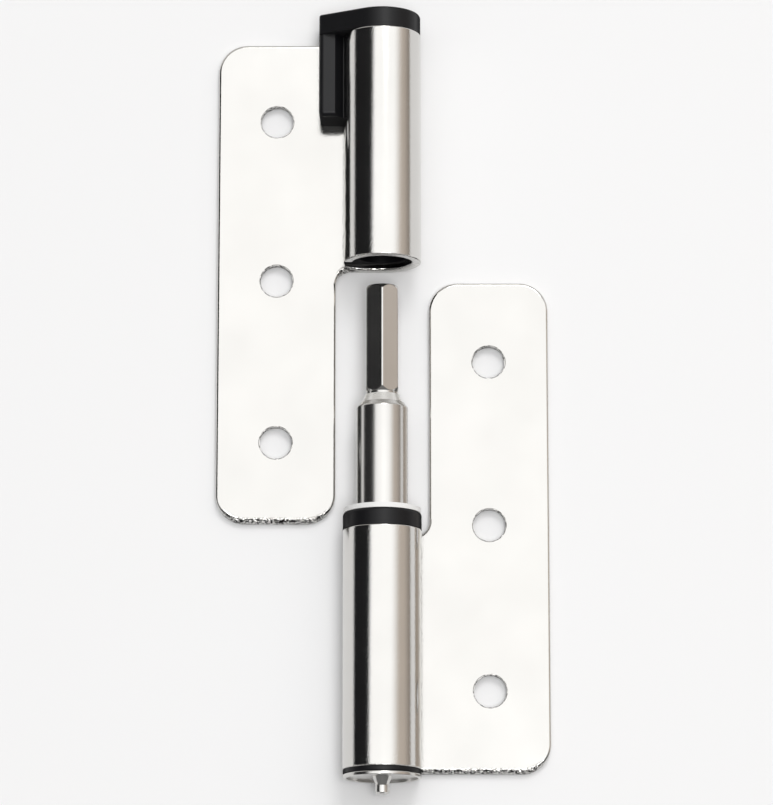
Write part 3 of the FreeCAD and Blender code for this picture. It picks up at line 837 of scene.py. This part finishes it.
class Leaves:
    """The two leaves, one turned end for end over the other."""

    def build(self, steel: bpy.types.Material) -> None:
        """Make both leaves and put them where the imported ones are.

        Args:
            steel: Their material.
        """
        for name, body, turned in (("lower_leaf", "lower_half", False),
                                   ("upper_leaf", "upper_half", True)):
            leaf = Pressing(1.0 if turned else -1.0).build(name + "_pressing")
            low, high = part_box(name)
            mesh = leaf.data
            normals = [Vector(n.vector) for n in mesh.corner_normals]
            for vertex in mesh.vertices:
                x, y, z = vertex.co
                vertex.co = (-x, high.y - y, z) if turned else (x, low.y + y, z)
            if turned:
                normals = [Vector((-n.x, -n.y, n.z)) for n in normals]
            mesh.normals_split_custom_set(normals)
            mesh.materials.append(steel)
            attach(leaf, body)
            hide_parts(name)
            log.info("%s: %d faces", leaf.name, len(mesh.polygons))


class Dresser:
    """Gives the hinge's carried over pieces their finishes."""

    PIECES: Mapping[str, Finish] = {
        "upper_leaf": Finish.LEAF_STEEL,
        "lower_leaf": Finish.LEAF_STEEL,
        "upper_cap": Finish.BLACK_PLASTIC,
        "upper_bush": Finish.BLACK_PLASTIC,
        "lower_collar": Finish.BLACK_PLASTIC,
        "foot_bush": Finish.BLACK_PLASTIC,
        "thrust_washer": Finish.WHITE_PLASTIC,
        "thrust_ring": Finish.WHITE_PLASTIC,
        "damper_tube": Finish.BRIGHT_STEEL,
        "spindle": Finish.BRIGHT_STEEL,
        "end_screw": Finish.BRIGHT_STEEL,
        "end_disc": Finish.BRIGHT_STEEL,
        "bearing_cap": Finish.GREY_METAL,
        "tube_plug": Finish.GREY_METAL,
        "valve_shoe": Finish.WHITE_PLASTIC,
        "chamber_liner": Finish.WHITE_PLASTIC,
        "gland_seal": Finish.SEAL_RUBBER,
        "shaft_seal": Finish.SEAL_RUBBER,
        "plug_seal": Finish.SEAL_RUBBER,
    }

    def __init__(self) -> None:
        """Build every finish once."""
        self.materials = {finish: finish.value.build() for finish in Finish}

    def dress(self) -> None:
        """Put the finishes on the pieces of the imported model."""
        for name, finish in self.PIECES.items():
            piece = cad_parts[name]
            for slot in piece.material_slots:
                slot.material = self.materials[finish]
            log.info("dressed %s in %s", name, finish.value.name)


@dataclass(frozen=True)
class Studio:
    """The plain studio: pale floor, soft light from above and the camera.

    Angles are in degrees from overhead: "over" to the right of it, "along" from
    it towards the capped end. The soft box lies askew, so its side edges move
    over by a share of the angle along.

    Attributes:
        floor_side: Side of the floor, in metres.
        floor_colour: The floor's colour.
        floor_roughness: How dull the floor is.
        floor_gloss: The floor's specular level.
        floor_drop: How far the floor lies under the hinge, in millimetres.
        sky: Strength of the soft box.
        skew: How far its side edges move over for each degree along.
        middle: The angle along at which they stand as they are given.
        left_edge: Its left edge at the middle, and how blurred it is.
        right_edge: Its right edge at the middle, and how blurred it is.
        near_edge: Its edge towards the camera, and how blurred it is.
        far_edge: Its far edge, and how blurred it is.
        left_colour: What stands to the left of the box.
        right_colour: What stands to the right of the box.
        low_share: Share of its colour that the right side keeps near the floor.
        low_band: Angles over at which it sets in to darken and is darkest.
        near_colour: What stands on the camera's side.
        far_colour: What stands beyond the far edge.
        lamps: The round lamps, each as its angles over and along, and its power
            in watts.
        lamp_away: Their distance, in metres.
        lamp_size: Their diameter, in metres.
        focal_px: The camera's focal length, in pixels of the picture.
        long_side_px: The picture's long side, in pixels.
        sensor: The sensor's long side, in millimetres.
        tilt: The camera's tilt from straight down, in degrees.
        eye: Where the camera stands, in metres.
        sight: How far the camera sees, in metres.
    """

    floor_side: float = 4.0
    floor_colour: Colour = (0.855, 0.855, 0.86)
    floor_roughness: float = 0.9
    floor_gloss: float = 0.1
    floor_drop: float = 0.05
    sky: float = 1.46
    skew: float = 1.2
    middle: float = 12.5
    left_edge: Band = (-32.5, 4.0)
    right_edge: Band = (44.0, 32.0)
    near_edge: Band = (-4.0, 12.0)
    far_edge: Band = (28.0, 12.0)
    left_colour: Colour = (0.017, 0.017, 0.018)
    right_colour: Colour = (0.66, 0.58, 0.51)
    low_share: float = 0.5
    low_band: Band = (62.0, 92.0)
    near_colour: Colour = (0.2, 0.2, 0.2)
    far_colour: Colour = (0.6, 0.59, 0.57)
    lamps: tuple[Triple, ...] = ((5.0, -13.0, 8.5), (10.0, 34.0, 5.2))
    lamp_away: float = 1.5
    lamp_size: float = 0.58
    focal_px: float = 4000.0
    long_side_px: float = 805.0
    sensor: float = 36.0
    tilt: float = 12.371
    eye: Triple = (0.87 * MM, -176.06 * MM, 805.84 * MM)
    sight: float = 20.0

    def build(self) -> None:
        """Make the floor, the light and the camera."""
        self.lay_floor()
        self.light_up()
        self.hang_lamps()
        self.place_camera()
        bpy.context.scene.view_settings.view_transform = "Standard"

    def lay_floor(self) -> None:
        """Lay the pale floor under the hinge."""
        half = self.floor_side / 2
        mesh = bpy.data.meshes.new("floor")
        mesh.from_pydata([(-half, -half, 0), (half, -half, 0), (half, half, 0),
                          (-half, half, 0)], [], [(0, 1, 2, 3)])
        floor = bpy.data.objects.new("floor", mesh)
        floor.location.z = -self.floor_drop * MM
        bpy.context.scene.collection.objects.link(floor)
        material = bpy.data.materials.new("floor_paper")
        material.use_nodes = True
        graph = Graph(material.node_tree)
        shader = graph.node("ShaderNodeBsdfPrincipled", inputs={
            "Base Color": self.floor_colour, "Roughness": self.floor_roughness,
            "Specular IOR Level": self.floor_gloss})
        graph.node("ShaderNodeOutputMaterial", inputs={"Surface": graph.out(shader)})
        mesh.materials.append(material)

    def light_up(self) -> None:
        """Light the world: a soft box overhead, dark to its left, taupe to its right."""
        world = bpy.data.worlds.new("studio")
        bpy.context.scene.world = world
        world.use_nodes = True
        graph = Graph(world.node_tree)
        way = graph.out(graph.node("ShaderNodeTexCoord"), "Generated")
        parts = graph.node("ShaderNodeSeparateXYZ", inputs={0: way})
        x, y, z = (graph.out(parts, name) for name in "XYZ")
        degrees = math.degrees(1.0)
        over = graph.maths("ARCTAN2", x, z) * degrees
        along = y.maths("ARCSINE") * degrees
        askew = over - (along - self.middle) * self.skew

        def past(angle: Signal, edge: Band) -> Signal:
            """Return how far an angle lies past an edge, from 0 to 1."""
            return graph.step(angle, edge[0] - edge[1] / 2, edge[0] + edge[1] / 2)

        low = graph.step(over, *self.low_band)
        dim = tuple(c * self.low_share for c in self.right_colour)
        right = graph.mix(low, self.right_colour, dim)
        white = (self.sky, self.sky, self.sky)
        colour = graph.mix(past(askew, self.left_edge), self.left_colour, white)
        colour = graph.mix(past(askew, self.right_edge), colour, right)
        colour = graph.mix(past(along, self.near_edge), self.near_colour, colour)
        colour = graph.mix(past(along, self.far_edge), colour, self.far_colour)
        background = graph.node("ShaderNodeBackground", inputs={
            "Color": colour, "Strength": 1.0})
        graph.node("ShaderNodeOutputWorld", inputs={"Surface": graph.out(background)})

    def hang_lamps(self) -> None:
        """Hang the round lamps that give the soft shadows."""
        for over, along, power in self.lamps:
            lamp = bpy.data.lights.new("lamp", "AREA")
            lamp.shape = "DISK"
            lamp.size = self.lamp_size
            lamp.energy = power
            way = Vector((math.tan(math.radians(over)),
                          math.tan(math.radians(along)), 1.0)).normalized()
            holder = bpy.data.objects.new("lamp", lamp)
            holder.location = way * self.lamp_away
            holder.rotation_mode = "QUATERNION"
            holder.rotation_quaternion = (-way).to_track_quat("-Z", "Y")
            bpy.context.scene.collection.objects.link(holder)

    def place_camera(self) -> None:
        """Set the camera where the photograph was taken from."""
        lens = bpy.data.cameras.new("camera")
        lens.sensor_width = self.sensor
        lens.lens = self.focal_px * self.sensor / self.long_side_px
        lens.clip_end = self.sight
        camera = bpy.data.objects.new("camera", lens)
        camera.location = self.eye
        camera.rotation_euler = (math.radians(self.tilt), 0.0, 0.0)
        bpy.context.scene.collection.objects.link(camera)
        bpy.context.scene.camera = camera


def main() -> None:
    """Build the scene in order."""
    dresser = Dresser()
    dresser.dress()
    Leaves().build(dresser.materials[Finish.LEAF_STEEL])
    Studio().build()


if __name__ == "__main__":
    main()
